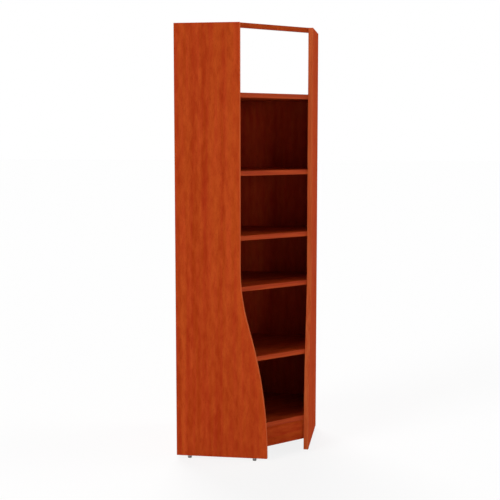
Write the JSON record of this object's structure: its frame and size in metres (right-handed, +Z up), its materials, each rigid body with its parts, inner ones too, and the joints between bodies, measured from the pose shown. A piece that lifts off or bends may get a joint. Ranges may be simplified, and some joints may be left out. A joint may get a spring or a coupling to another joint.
{
  "type": "corner shelving unit",
  "caption": "Tall five-sided corner shelving unit of cherry laminate with wave-edged side panels, fixed shelves on a diagonal front, an open top niche and levelling feet.",
  "frame": {"origin": "on the floor, under the middle of the unit's square footprint", "axes": "+Z up; the room corner is at -X +Y, the left panel faces -Y, the right panel faces +X and the diagonal front faces +X -Y"},
  "size_m": [0.6, 0.6, 2],
  "materials": {
    "cherry_laminate": "melamine-faced board, satin, fine upright grain",
    "edge_band": "ABS edge band, satin",
    "cap_plastic": "moulded, satin",
    "zinc_casting": "die-cast, dull",
    "plated_steel": "zinc-plated",
    "beech": "fluted, raw",
    "brass": "turned",
    "block_plastic": "moulded, satin",
    "pad_plastic": "moulded, dull grey"
  },
  "bodies": {
    "unit": {"back_band_left": "edge_band", "back_band_right": "edge_band", "back_cam_bolts": "plated_steel", "back_cam_locks": "zinc_casting", "back_panel_left": "cherry_laminate", "back_panel_right": "cherry_laminate", "base_shelf": "cherry_laminate", "base_shelf_band": "edge_band", "corner_screws": "plated_steel", "foot_sleeves": "brass", "high_shelf": "cherry_laminate", "high_shelf_band": "edge_band", "low_shelf": "cherry_laminate", "low_shelf_band": "edge_band", "middle_shelf": "cherry_laminate", "middle_shelf_band": "edge_band", "niche_shelf": "cherry_laminate", "niche_shelf_band": "edge_band", "plinth_band": "edge_band", "plinth_block_screws": "plated_steel", "plinth_blocks": "block_plastic", "plinth_rail": "cherry_laminate", "rail_bracket_screws": "plated_steel", "rail_brackets": "plated_steel", "shelf_back_screws": "plated_steel", "shelf_cam_bolts": "plated_steel", "shelf_cam_caps": "cap_plastic", "shelf_cam_locks": "zinc_casting", "shelf_dowels": "beech", "side_band_left": "edge_band", "side_band_right": "edge_band", "side_panel_left": "cherry_laminate", "side_panel_right": "cherry_laminate", "top_band_left": "edge_band", "top_band_right": "edge_band", "top_rail": "cherry_laminate", "top_rail_bands": "edge_band", "upper_shelf": "cherry_laminate", "upper_shelf_band": "edge_band"},
    "foot_left_front": {"foot_pad_left_front": "pad_plastic", "foot_stud_left_front": "plated_steel"},
    "foot_left_rear": {"foot_pad_left_rear": "pad_plastic", "foot_stud_left_rear": "plated_steel"},
    "foot_back_left": {"foot_pad_back_left": "pad_plastic", "foot_stud_back_left": "plated_steel"},
    "foot_right_front": {"foot_pad_right_front": "pad_plastic", "foot_stud_right_front": "plated_steel"},
    "foot_right_rear": {"foot_pad_right_rear": "pad_plastic", "foot_stud_right_rear": "plated_steel"},
    "foot_back_right": {"foot_pad_back_right": "pad_plastic", "foot_stud_back_right": "plated_steel"}
  },
  "joints": [
    {"name": "foot_left_front_level", "type": "slide", "parent": "unit", "child": "foot_left_front", "axis": [0, 0, -1], "range_m": [0, 0.012]},
    {"name": "foot_left_rear_level", "type": "slide", "parent": "unit", "child": "foot_left_rear", "axis": [0, 0, -1], "range_m": [0, 0.012]},
    {"name": "foot_back_left_level", "type": "slide", "parent": "unit", "child": "foot_back_left", "axis": [0, 0, -1], "range_m": [0, 0.012]},
    {"name": "foot_right_front_level", "type": "slide", "parent": "unit", "child": "foot_right_front", "axis": [0, 0, -1], "range_m": [0, 0.012]},
    {"name": "foot_right_rear_level", "type": "slide", "parent": "unit", "child": "foot_right_rear", "axis": [0, 0, -1], "range_m": [0, 0.012]},
    {"name": "foot_back_right_level", "type": "slide", "parent": "unit", "child": "foot_back_right", "axis": [0, 0, -1], "range_m": [0, 0.012]}
  ]
}
